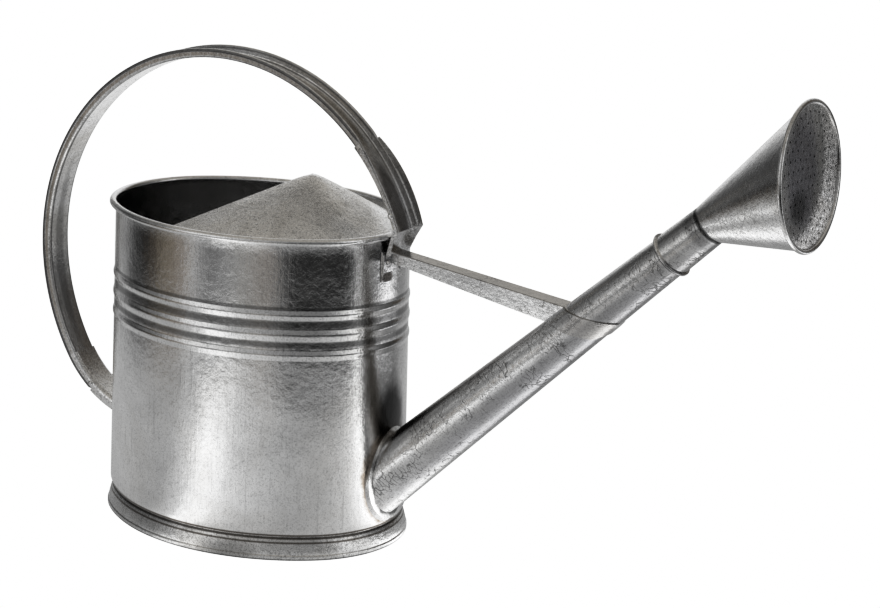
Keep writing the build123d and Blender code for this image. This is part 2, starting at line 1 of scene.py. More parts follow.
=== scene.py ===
# %% [markdown]
# A galvanised watering can: an oval can with a half hood, a hoop handle, a braced spout and a rose. The
# fixed CAD model gives every part its place. This script draws smooth finished meshes for the six
# sheet-metal parts that show most, and gives every part a weathered zinc finish.

# %% Load the model
import math
import bpy
import numpy as np
from mathutils import Matrix, Vector


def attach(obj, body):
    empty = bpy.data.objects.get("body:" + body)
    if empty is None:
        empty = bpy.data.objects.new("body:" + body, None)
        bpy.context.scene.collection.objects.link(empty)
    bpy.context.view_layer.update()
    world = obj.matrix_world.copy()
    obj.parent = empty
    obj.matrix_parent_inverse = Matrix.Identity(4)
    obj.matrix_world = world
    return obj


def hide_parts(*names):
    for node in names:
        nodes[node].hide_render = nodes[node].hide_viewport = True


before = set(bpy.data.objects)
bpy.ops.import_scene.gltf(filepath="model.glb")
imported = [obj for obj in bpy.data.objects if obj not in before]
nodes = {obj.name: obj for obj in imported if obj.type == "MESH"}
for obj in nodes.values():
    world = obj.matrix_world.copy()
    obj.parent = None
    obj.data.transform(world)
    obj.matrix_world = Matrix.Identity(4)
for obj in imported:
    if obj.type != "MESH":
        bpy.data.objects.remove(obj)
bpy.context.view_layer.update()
MM = 0.001
print("CAD nodes:", len(nodes))

# %% [markdown]
# The camera comes first, because every other choice is judged through it. It stands in front of the
# near side, a little to the spout's side, and looks slightly down through a long lens, which keeps
# the oval from looking stretched. The contrast curve deepens the shadows a little, and leaves white
# white.

# %% Camera
AZIMUTH, ELEVATION, ROLL = (math.radians(v) for v in (30.4028, 15.282, 2.313))
TARGET, DISTANCE = Vector((0.14078, 0, 0.17301)), 1.58229
CONTRAST_POINTS = ((0.22, 0.18), (0.72, 0.79))
COMBINED_CURVE = 3

back = Vector((
    math.sin(AZIMUTH) * math.cos(ELEVATION),
    -math.cos(AZIMUTH) * math.cos(ELEVATION),
    math.sin(ELEVATION),
))
level = Vector((math.cos(AZIMUTH), math.sin(AZIMUTH), 0))
upright = back.cross(level)
right = math.cos(ROLL) * level + math.sin(ROLL) * upright
up = -math.sin(ROLL) * level + math.cos(ROLL) * upright
camera = bpy.data.objects.new("camera", bpy.data.cameras.new("camera"))
camera.data.sensor_width = 36
camera.data.lens = 100.334
camera.matrix_world = Matrix((right, up, back)).transposed().to_4x4()
camera.matrix_world.translation = TARGET + back * DISTANCE
bpy.context.scene.collection.objects.link(camera)
bpy.context.scene.camera = camera
look = bpy.context.scene.view_settings
look.view_transform = "Standard"
look.use_curve_mapping = True
for place in CONTRAST_POINTS:
    look.curve_mapping.curves[COMBINED_CURVE].points.new(*place)
look.curve_mapping.update()
print("camera at", [round(v, 3) for v in camera.matrix_world.translation])

# %% [markdown]
# The room, the table and the zinc are all made of shader nodes. Adding and linking them one by one
# makes long code, so these short helpers each add one step and hand back the socket that comes out.

# %% Node helpers
def add(tree, kind, inputs=(), **settings):
    """Add a node, set its properties and its inputs; an input may be a value or another socket."""
    node = tree.nodes.new(kind)
    for name, value in settings.items():
        setattr(node, name, value)
    for key, value in dict(inputs).items():
        if isinstance(value, bpy.types.NodeSocket):
            tree.links.new(value, node.inputs[key])
        else:
            node.inputs[key].default_value = value
    return node


def math_node(tree, operation, a, b=0.0, clamp=False):
    """One step of arithmetic on two sockets or numbers."""
    return add(tree, "ShaderNodeMath", {0: a, 1: b}, operation=operation, use_clamp=clamp).outputs[0]


def times(tree, *factors):
    """Two or more sockets or numbers multiplied together."""
    product = factors[0]
    for factor in factors[1:]:
        product = math_node(tree, "MULTIPLY", product, factor)
    return product


def vector_node(tree, operation, a, b=(0.0, 0.0, 0.0)):
    """One step of arithmetic on two vectors. A length or a distance comes out as a number."""
    node = add(tree, "ShaderNodeVectorMath", {0: a, 1: b}, operation=operation)
    return node.outputs["Value" if operation in ("LENGTH", "DISTANCE") else "Vector"]


def span(tree, value, low, high, out_low=0.0, out_high=1.0, smooth=True):
    """Map a range of values onto another, with soft ends."""
    kind = "SMOOTHSTEP" if smooth else "LINEAR"
    return add(tree, "ShaderNodeMapRange", {
        "Value": value, "From Min": low, "From Max": high, "To Min": out_low, "To Max": out_high,
    }, interpolation_type=kind).outputs[0]


def mix(tree, factor, a, b, blend="MIX"):
    """Mix two colours. The colour sockets of a Mix node are its inputs 6 and 7, and its output 2."""
    node = tree.nodes.new("ShaderNodeMix")
    node.data_type, node.blend_type = "RGBA", blend
    for index, value in ((0, factor), (6, a), (7, b)):
        if isinstance(value, bpy.types.NodeSocket):
            tree.links.new(value, node.inputs[index])
        else:
            node.inputs[index].default_value = value if index == 0 else (*value, 1)[:4]
    return node.outputs[2]


def ramp(tree, factor, stops, interpolation="EASE"):
    """A colour ramp with grey or coloured stops."""
    node = add(tree, "ShaderNodeValToRGB", {0: factor})
    node.color_ramp.interpolation = interpolation
    while len(node.color_ramp.elements) < len(stops):
        node.color_ramp.elements.new(1.0)
    for element, (place, tone) in zip(node.color_ramp.elements, stops):
        element.position = place
        element.color = (*tone, 1) if isinstance(tone, tuple) else (tone, tone, tone, 1)
    return node.outputs[0]


def lit_or_white(tree, kind, colour):
    """A colour for reflections to see, and plain white for the camera."""
    lit = add(tree, kind, {"Color": colour, "Strength": 1.0})
    white = add(tree, kind, {"Color": (1, 1, 1, 1), "Strength": 1.0})
    seen = add(tree, "ShaderNodeLightPath").outputs["Is Camera Ray"]
    return add(tree, "ShaderNodeMixShader", {0: seen, 1: lit.outputs[0], 2: white.outputs[0]}).outputs[0]


print("node helpers ready")

# %% [markdown]
# Polished metal shows its surroundings more than itself, so the studio is made with care. The tones
# that the can reflects are written as a list of compass directions, in degrees from the spout's
# direction, each with a grey or a colour. There is one list for the far table and the horizon, one
# for the table close by, and one for the walls higher up. Area lights would give the same kind of
# reflection, but each one would have to be moved and resized until its edges fell in the right place.

# %% Tones of the room
FAR_TONES = [
    (-180, .22), (-173, .06), (-162, .02), (-153, (.06, .05, .04)), (-142, (.19, .165, .13)),
    (-128, (.24, .215, .19)), (-119, .44), (-113, .22), (-105, .16), (-97, .28),
    (-85, (.30, .295, .285)), (-71, (.28, .26, .24)), (-64, .16), (-57, .02), (-40, .025),
    (-28, .02), (-14, .015), (-5, .08), (6, .90), (14, .40), (24, .08), (33, .07), (48, .09),
    (66, .26), (88, .36), (108, .50), (124, .80), (138, .64), (149, .32), (160, .38), (170, .34),
    (180, .20),
]
NEAR_TONES = [
    (-180, .44), (-152, .42), (-128, .42), (-117, .56), (-110, .66), (-107, 1.02), (-93, 1.0),
    (-90, .74), (-76, .56), (-62, .49), (-54, .41), (-44, .41), (-30, .47), (-14, .60), (-5, .85),
    (4, 1.35), (12, 1.2), (20, .50), (30, .36), (58, .36), (80, .42), (100, .52), (126, .75),
    (150, .46), (180, .44),
]
HIGH_TONES = [
    (-180, .07), (-170, .10), (-160, .19), (-150, .20), (-136, .42), (-120, .75), (-105, .68),
    (-90, .42), (-75, .36), (-60, .24), (-45, .20), (-30, .26), (-15, .55), (0, .95), (15, .35),
    (30, .16), (45, .12), (58, (.07, .06, .05)), (74, (.12, .105, .09)), (88, .45), (105, .66),
    (120, .75), (138, .64), (150, .34), (162, .14), (172, .07), (180, .07),
]


def compass_tones(tree, direction, tones):
    """Colours by the compass direction of a point or a direction."""
    parts = add(tree, "ShaderNodeSeparateXYZ", {0: direction})
    turn = math_node(tree, "ARCTAN2", parts.outputs[1], parts.outputs[0])
    place = span(tree, turn, -math.pi, math.pi, smooth=False)
    return ramp(tree, place, [((degrees + 180) / 360, tone) for degrees, tone in tones])


print("tones:", len(FAR_TONES), "far,", len(NEAR_TONES), "near,", len(HIGH_TONES), "high")

# %% [markdown]
# The room is the world's background. It has the far tones at the horizon, the high tones just above
# it, and one dim, slightly warm grey overhead. Only reflections see it: straight behind the can
# everything is plain white, as in front of a lit studio wall.

# %% Room
HORIZON, OVERHEAD = (-0.15, -0.02), (0.45, 0.85)
CEILING_TONE = (0.36, 0.345, 0.32)

world = bpy.data.worlds.new("studio")
bpy.context.scene.world = world
world.use_nodes = True
tree = world.node_tree
tree.nodes.clear()
direction = add(tree, "ShaderNodeTexCoord").outputs["Generated"]
height = add(tree, "ShaderNodeSeparateXYZ", {0: direction}).outputs[2]
far = compass_tones(tree, direction, FAR_TONES)
high = compass_tones(tree, direction, HIGH_TONES)
walls = mix(tree, span(tree, height, *HORIZON), far, high)
room = mix(tree, span(tree, height, *OVERHEAD), walls, CEILING_TONE)
shader = lit_or_white(tree, "ShaderNodeBackground", room)
tree.links.new(shader, add(tree, "ShaderNodeOutputWorld").inputs[0])
print("room nodes:", len(tree.nodes))

# %% [markdown]
# The table is a large flat disc under the can. It shines with its own tones in place of catching
# light, so that it stays clean white for the camera, and the zinc still finds light and dark parts of
# it to reflect. Near tones fade into far tones with distance, and one bright patch beyond the rose
# puts the light edge on its plate.

# %% Table
TABLE_RADIUS, TABLE_DROP = 6.0, 0.0005
NEAR_TO_FAR = (0.33, 0.84)
PATCH_PLACE, PATCH_FADE, PATCH_TONE = (0.58, 0.48, 0.0), (0.12, 0.27), (0.95, 0.95, 0.96)

bpy.ops.object.select_all(action="DESELECT")
bpy.ops.mesh.primitive_circle_add(
    vertices=96, radius=TABLE_RADIUS, fill_type="NGON", location=(0, 0, -TABLE_DROP),
)
table = bpy.context.object
table.name = "table"
material = bpy.data.materials.new("table")
material.use_nodes = True
tree = material.node_tree
tree.nodes.clear()
place = add(tree, "ShaderNodeTexCoord").outputs["Object"]
fade = span(tree, vector_node(tree, "LENGTH", place), *NEAR_TO_FAR)
table_tone = mix(tree, fade, compass_tones(tree, place, NEAR_TONES), compass_tones(tree, place, FAR_TONES))
bright = span(tree, vector_node(tree, "DISTANCE", place, PATCH_PLACE), *PATCH_FADE, 1.0, 0.0)
table_tone = mix(tree, bright, table_tone, PATCH_TONE)
shader = lit_or_white(tree, "ShaderNodeEmission", table_tone)
tree.links.new(shader, add(tree, "ShaderNodeOutputMaterial").inputs[0])
table.data.materials.append(material)
print("table", TABLE_RADIUS * 2, "m across")

# %% [markdown]
# All the sheet-metal parts are made in one way. A ring of points is added as a circle, and extruded
# again and again in edit mode, like drawing out a tube. Each ring is then laid on the next section of
# the part by its coordinates. Scaling and moving each ring by operators would do for a round pot, but
# the can is an oval, the spout is cut to it, and the strap's section changes along its line, and a
# ring laid by coordinates follows any of these.

# %% Drawing out a tube
WELD = 2e-6
SMOOTH_ANGLE = math.radians(32)


def draw_out(name, rings, closed):
    """A mesh from rings of points, one after another. closed joins the last ring to the first."""
    rings = np.asarray(rings, float)
    count, around = rings.shape[:2]
    bpy.ops.object.select_all(action="DESELECT")
    bpy.ops.mesh.primitive_circle_add(vertices=around, radius=1.0, fill_type="NOTHING")
    piece = bpy.context.object
    piece.name = piece.data.name = name
    bpy.ops.object.mode_set(mode="EDIT")
    bpy.ops.mesh.select_all(action="SELECT")
    for _ in range(count - 1 + closed):
        bpy.ops.mesh.extrude_region_move(TRANSFORM_OT_translate={"value": (0, 0, 1)})
    bpy.ops.object.mode_set(mode="OBJECT")
    laid = np.concatenate([rings, rings[:1]]) if closed else rings
    piece.data.vertices.foreach_set("co", (laid * MM).reshape(-1).astype(np.float32))
    bpy.ops.object.mode_set(mode="EDIT")
    bpy.ops.mesh.select_all(action="SELECT")
    bpy.ops.mesh.remove_doubles(threshold=WELD)
    if not closed:
        bpy.ops.mesh.fill_holes(sides=0)
    bpy.ops.mesh.select_all(action="SELECT")
    bpy.ops.mesh.normals_make_consistent(inside=False)
    bpy.ops.object.mode_set(mode="OBJECT")
    bpy.ops.object.shade_smooth_by_angle(angle=SMOOTH_ANGLE)
    print(name, "faces", len(piece.data.polygons), "size mm", [round(v / MM, 1) for v in piece.dimensions])
    return piece


# %% [markdown]
# Seen from above the can is an oval of four arcs that run smoothly into each other: two tight ones at
# the ends and two flat ones along the sides. A scaled circle would be too pointed at its ends. The
# wall also leans out a little towards its foot. All sizes from here on are in millimetres.

# %% The oval
HALF_LENGTH, HALF_WIDTH, END_RADIUS = 105.0, 81.75, 67.5
END_CENTRE, EXCESS = HALF_LENGTH - END_RADIUS, HALF_WIDTH - END_RADIUS
SIDE_CENTRE = (END_CENTRE**2 - EXCESS**2) / (2 * EXCESS)
SIDE_RADIUS = HALF_WIDTH + SIDE_CENTRE
JOIN = math.atan2(SIDE_CENTRE, END_CENTRE)
RIM, FLARE, WALL_FOOT = 216.6, 2.8, 17.0
END_SHARE, SIDE_SHARE = 0.3, 0.2


def oval(out, z, count=240):
    """Points round the oval, a given distance outside it."""
    side_turn = math.pi - 2 * JOIN
    arcs = (
        ((END_CENTRE, 0), END_RADIUS, -JOIN, 2 * JOIN, END_SHARE),
        ((0, -SIDE_CENTRE), SIDE_RADIUS, JOIN, side_turn, SIDE_SHARE),
        ((-END_CENTRE, 0), END_RADIUS, math.pi - JOIN, 2 * JOIN, END_SHARE),
        ((0, SIDE_CENTRE), SIDE_RADIUS, math.pi + JOIN, side_turn, SIDE_SHARE),
    )
    points = []
    for (x, y), radius, start, turn, share in arcs:
        steps = round(count * share)
        for step in range(steps):
            angle = start + turn * step / steps
            points.append((x + (radius + out) * math.cos(angle), y + (radius + out) * math.sin(angle), z))
    return np.array(points)


def wall_out(z):
    """How far the wall stands outside the rim oval at a height."""
    return FLARE * (RIM - z) / (RIM - WALL_FOOT)


print("oval arcs: end radius", END_RADIUS, "side radius", round(SIDE_RADIUS, 1))

# %% [markdown]
# The wall is one sheet: drawn in at its foot, flared, with three ribs rolled into it and its top
# rolled outwards over a wire. Its section is written once, from the foot up the outside, over the
# roll and down the inside, and every point of it becomes one oval ring. The ribs need rings close
# together and the plain stretches only a few.

# %% Wall
SHEET, RIM_BEAD = 0.7, 2.4
RIBS = ((139.0, 6.5), (152.3, 8.0), (165.6, 6.5))     # height of the crest, width
RIB_RISE, RIB_ROUNDNESS = 0.75, 1.3
# the lower edge, drawn in: the height its flare is taken at, how far in, and its own height
DRAWN_IN = ((17, 1.3, 15.7), (17, 1.25, 16.4), (18, 0.7, 17.6), (19, 0.2, 18.8))
# the plain, the ribbed and the upper plain stretch: from, to, rings
STRETCHES = ((20.5, 134, 12), (134, 171, 75), (172, 211, 6))
ROLL_TURN = (math.radians(-125), math.radians(178), 24)


def rib_rise(z):
    """How far the ribs raise the wall at a height."""
    rise = 0.0
    for crest, width in RIBS:
        part = abs(z - crest) / (width / 2)
        if part < 1:
            rise += RIB_RISE * math.cos(part * math.pi / 2) ** RIB_ROUNDNESS
    return rise


heights = sorted({round(z, 2) for stretch in STRETCHES for z in np.linspace(*stretch)})
outer = [(wall_out(level) - inset, z) for level, inset, z in DRAWN_IN]
outer += [(wall_out(z) + rib_rise(z), z) for z in heights]
roll = [(RIM_BEAD - SHEET + RIM_BEAD * math.cos(a), RIM - RIM_BEAD + RIM_BEAD * math.sin(a))
        for a in np.linspace(*ROLL_TURN)]
inner = [(out - SHEET, z) for out, z in reversed(outer)]
wall = draw_out("can_wall", [oval(out, z) for out, z in outer + roll + inner], closed=True)
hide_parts("body_wall")
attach(wall, "can")
print("wall section points:", len(outer + roll + inner))

# %% [markdown]
# The foot is a separate ring that the can stands on. It laps up round the wall, slopes out over a
# swell, and ends in a hem that is folded under. Its section is a closed outline, given as how far
# each point stands outside the rim oval, and its height.

# %% Foot
FOOT_OUTSIDE = [
    (0.75, 25), (0.75, 15.0), (0.9, 14.4), (1.5, 13.6), (2.3, 11.5), (3.0, 9.0), (3.6, 6.8), (3.95, 5.2),
    (4.1, 4.2), (4.12, 3.5),
]
FOOT_HEM = [
    (4.4, 3.3), (4.7, 2.9), (4.76, 2.2), (4.76, 1.0), (4.6, 0.3), (4.3, 0.0), (3.7, 0.0), (3.4, 0.4),
]
FOOT_INSIDE = [
    (3.4, 4.5), (2.9, 6.8), (2.3, 9.0), (1.6, 11.3), (0.8, 13.2), (0.1, 14.2), (0.05, 15.2), (0.05, 25),
]

foot_section = FOOT_OUTSIDE + FOOT_HEM + FOOT_INSIDE
foot = draw_out("foot", [oval(out, z) for out, z in foot_section], closed=True)
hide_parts("foot_ring")
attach(foot, "can")
print("foot section points:", len(foot_section))

# %% [markdown]
# The hood is half of a shallow cone that closes the mouth over the spout. A cone primitive would be
# round, and this one has to meet the oval wall, so it is drawn out round its tip: every ring is one
# radial slice, from the tip down to the wall, down a short skirt inside it, and back underneath. The
# tip is rounded off a little.

# %% Hood
TIP = np.array([40.0, 0.0, 246.0])
BASE, END_X, SKIRT = 210.0, -27.0, 7
SEAM_GAP = 0.05
TIP_ROUNDING = 0.055
SLICES = 161
TOP_PARTS = (0.004, 0.02, 0.04, 0.07, 0.1, 0.14, 0.2, 0.28, 0.42, 0.56, 0.7, 0.82, 0.91, 0.965, 1.0)
UNDER_PARTS = (0.97, 0.8, 0.55, 0.3, 0.1, 0.01)
UNDER_DROP = (0, 0, -1.0)

base_line = oval(-SHEET - SEAM_GAP, BASE, 480)
angles = np.arctan2(base_line[:, 1] - TIP[1], base_line[:, 0] - TIP[0])
order = np.argsort(angles)
end_y = HALF_WIDTH * math.sqrt(1 - (END_X / HALF_LENGTH) ** 2)
limit = math.atan2(end_y, END_X - TIP[0])
slices = []
for angle in np.linspace(-limit, limit, SLICES):
    edge = np.array([np.interp(angle, angles[order], base_line[order, k]) for k in range(3)])
    run = edge - TIP
    top = [TIP + run * (part, part, math.hypot(part, TIP_ROUNDING * (1 - part))) for part in TOP_PARTS]
    low = edge + (0, 0, -SKIRT)
    inward = -run * (1, 1, 0) / np.linalg.norm(run * (1, 1, 0)) * SHEET
    under = [TIP + run * (part, part, math.hypot(part, TIP_ROUNDING)) + UNDER_DROP for part in UNDER_PARTS]
    slices.append([*top, low, low + inward, *under])
hood = draw_out("hood_skin", slices, closed=False)
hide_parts("hood")
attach(hood, "can")
print("hood slices:", len(slices))

# %% [markdown]
# The handle is a strap pressed into a trough that opens outwards, with both edges rolled over like
# thin pipes. It follows two arcs: a wide hoop over the can, then a tighter tail behind it. A curve
# with a bevel would repeat one section all along, but here the rolls open out near both ends and the
# near edge dips into the front bracket, so each ring has its own section.

# %% Handle
HOOP = (-27.0, 166.8, 153.2)      # centre x, centre z, radius to the strap's rim
TAIL_RADIUS = 80.0
FRONT, LAP_END, REAR, TAIL_TURN = 20, 50, 211.7, 26       # degrees round the hoop, and along the tail
HOOP_RINGS = (np.linspace(FRONT, LAP_END, 31), np.linspace(LAP_END + 2, REAR, 110))
ROLL_FROM, ROLL_RUN = 43, 2.5
DIP, DIP_FROM, DIP_RUN = 2.1, 34, 9
TAIL_ROLL_END, TAIL_ROLL_RUN = 22, 2
STRAP_HALF, STRAP_DEPTH, STRAP_CORNER, STRAP_INNER_CORNER = 10.6, 6.5, 2.2, 1.4
BEND_TURN = np.linspace(0, math.pi / 2, 7)
ROLL_RADIUS, EDGE_RADIUS = 1.3, 0.4
BEAD_TURN = np.linspace(-70, 250, 13)
TAIL = (
    HOOP[0] + (HOOP[2] - TAIL_RADIUS) * math.cos(math.radians(REAR)),
    HOOP[1] + (HOOP[2] - TAIL_RADIUS) * math.sin(math.radians(REAR)),
    TAIL_RADIUS,
)


def share(value):
    """A value kept between 0 and 1."""
    return min(1, max(0, value))


def strap_section(rolled, dip):
    """The strap's outline as (outwards from its rim, across). rolled goes from 0 to 1."""
    outline = []
    for side in (-1, 1):
        top = -ROLL_RADIUS - dip * (side < 0)
        bend, inner_bend = (
            [(-STRAP_DEPTH + STRAP_CORNER - radius * math.sin(a),
              side * (STRAP_HALF - STRAP_CORNER + radius * math.cos(a))) for a in BEND_TURN]
            for radius in (STRAP_CORNER, STRAP_INNER_CORNER)
        )
        middle = side * (STRAP_HALF - EDGE_RADIUS)
        swell = EDGE_RADIUS + (ROLL_RADIUS - EDGE_RADIUS) * rolled
        bead = [(top + swell * math.sin(math.radians(t)), middle + side * swell * math.cos(math.radians(t)))
                for t in BEAD_TURN]
        outline.append((bend[::-1], bead, inner_bend))
    near, far = outline
    return [*near[0], *near[1], *near[2], *far[2][::-1], *far[1][::-1], *far[0][::-1]]


def along_strap():
    """The places along the strap: its arc, the angle, how far its edges are rolled, and the dip."""
    places = []
    for angle in np.concatenate(HOOP_RINGS):
        dip = DIP * (1 - share((angle - DIP_FROM) / DIP_RUN))
        places.append((HOOP, angle, share((angle - ROLL_FROM) / ROLL_RUN), dip))
    for angle in np.linspace(REAR + 1, REAR + TAIL_TURN, TAIL_TURN):
        places.append((TAIL, angle, share((REAR + TAIL_ROLL_END - angle) / TAIL_ROLL_RUN), 0.0))
    return places


rings = []
for (centre_x, centre_z, radius), angle, rolled, dip in along_strap():
    a = math.radians(angle)
    rings.append([(centre_x + (radius + out) * math.cos(a), across, centre_z + (radius + out) * math.sin(a))
                  for out, across in strap_section(rolled, dip)])
strap = draw_out("handle_strap", rings, closed=False)
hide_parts("handle_hoop")
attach(strap, "can")
print("strap rings:", len(rings))

# %% [markdown]
# The spout is a plain tapered tube, cut to the can's wall at its root. A boolean could cut it, but
# would leave long thin faces that catch the light. Here each line down its side is followed to the
# point where it meets the wall, by halving the distance again and again, and the rings are shared out
# evenly from there to the tip.

# %% Spout
SPOUT = np.array([140.0, 0.0, 80.74])         # a point on the spout's axis
TILT = math.radians(43.04)
AXIS = np.array([math.cos(TILT), 0, math.sin(TILT)])
ACROSS = np.array([0.0, 1.0, 0.0])
OVER = np.array([-math.sin(TILT), 0, math.cos(TILT)])
SPOUT_RADIUS, TAPER, SPOUT_END = 19.32, 0.02775, 243
WALL_GAP, ROOT_SEARCH, HALVINGS = 0.02, (-90.0, 0.0), 40
LENGTHWISE = np.linspace(0, 1, 25) ** 0.9     # the rings stand a little closer towards the tip


def spout_radius(along):
    """The spout's outer radius at a distance along its axis."""
    return SPOUT_RADIUS - TAPER * along


def outside_wall(point):
    """How far outside the can's wall a point stands."""
    x, y, z = point
    if abs(math.atan2(y, x - END_CENTRE)) <= JOIN:
        out = math.hypot(x - END_CENTRE, y) - END_RADIUS
    else:
        out = math.hypot(x, abs(y) + SIDE_CENTRE) - SIDE_RADIUS
    return out - wall_out(z)


def side_point(along, direction, inset):
    """A point on the spout's side, or inside it by the inset."""
    return SPOUT + AXIS * along + direction * (spout_radius(along) - inset)


def root_start(direction, inset):
    """How far along the axis a line down the spout's side meets the can's wall."""
    low, high = ROOT_SEARCH
    for _ in range(HALVINGS):
        middle = (low + high) / 2
        meets = outside_wall(side_point(middle, direction, inset)) < WALL_GAP
        low, high = (middle, high) if meets else (low, middle)
    return high


turns = np.linspace(0, 2 * math.pi, 96, endpoint=False)
directions = [math.cos(t) * ACROSS + math.sin(t) * OVER for t in turns]
outside, inside = [], []
for inset, rows in ((0.0, outside), (SHEET, inside)):
    starts = [root_start(direction, inset) for direction in directions]
    for part in LENGTHWISE:
        rows.append([side_point(start + (SPOUT_END - start) * part, direction, inset)
                     for start, direction in zip(starts, directions)])
spout = draw_out("spout_skin", outside + inside[::-1], closed=True)
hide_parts("spout_tube")
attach(spout, "can")
print("spout's root, along its axis:", round(min(starts), 1), "to", round(max(starts), 1))

# %% [markdown]
# The rose's cone is oblique: it starts square to the spout and ends in a rim that stands nearly
# upright. It is drawn out between those two circles, with a short neck that pushes into the collar.
# It rides on the rose's own body, so that it turns and pulls off with the plate.

# %% Rose cone
ROSE = np.array([387.2, 0.0, 293.0])
ROSE_TILT = math.radians(4.77)
ROSE_OVER = np.array([-math.sin(ROSE_TILT), 0, math.cos(ROSE_TILT)])
ROSE_RADIUS, CONE_SHEET = 44.15, 0.6
COLLAR_END, NECK_PLACE, NECK_LOW_PLACE = 254.5, 254.8, 247
NECK_RISE, NECK_EASE = 0.66, 0.04
CONE_PARTS = np.linspace(0, 0.985, 22)


def hoop_of_points(centre, over, radius):
    """A circle of points across the spout's line."""
    return np.array([centre + radius * (math.cos(t) * ACROSS + math.sin(t) * over) for t in turns])


neck, neck_low = SPOUT + AXIS * NECK_PLACE, SPOUT + AXIS * NECK_LOW_PLACE
bore = spout_radius(COLLAR_END)
neck_line = hoop_of_points(neck, OVER, bore + NECK_RISE)
neck_inner = hoop_of_points(neck, OVER, bore + NECK_RISE - CONE_SHEET)
rim_line = hoop_of_points(ROSE, ROSE_OVER, ROSE_RADIUS)
rim_inner = hoop_of_points(ROSE, ROSE_OVER, ROSE_RADIUS - CONE_SHEET)
rings = [hoop_of_points(neck_low, OVER, bore - NECK_EASE), hoop_of_points(neck, OVER, bore - NECK_EASE)]
rings += [neck_line + (rim_line - neck_line) * part for part in CONE_PARTS]
rings += [neck_inner + (rim_inner - neck_inner) * part for part in CONE_PARTS[::-1]]
rings += [hoop_of_points(neck_low, OVER, bore - NECK_EASE - CONE_SHEET)]
cone = draw_out("rose_skin", rings, closed=True)
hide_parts("rose_cone")
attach(cone, "rose_head")
print("cone rings:", len(rings))

# %% [markdown]
# Hot-dip zinc is bright metal with a skin of its own: cloudy patches where it has dulled, fine drawn
# scratches, thin crackle lines where the skin has crept, and pits. Every part shows the same things
# in other amounts, so one node group holds all of it. It puts out a colour, a roughness and a height,
# and each part says how much of each mark it shows and which way its scratches run.

# %% Zinc node group
PLAIN_SCALE, STREAK_SCALE = (1.0, 1.0, 1.0), (90.0, 90.0, 3.0)
MARKS = {"Tone": 0.8, "Tarnish": 0.3, "Crackle": 0.3, "Scratches": 0.3, "Speckle": 0.3, "Wrinkle": 0.3,
         "Roughness": 0.22}
DULL_DEPTH, CRACKLE_DEPTH, SCRATCH_DEPTH, SPOT_DEPTH, PIT_DEPTH = 0.55, 0.85, 0.45, 0.45, 0.35
WARM = (1.0, 0.965, 0.90)


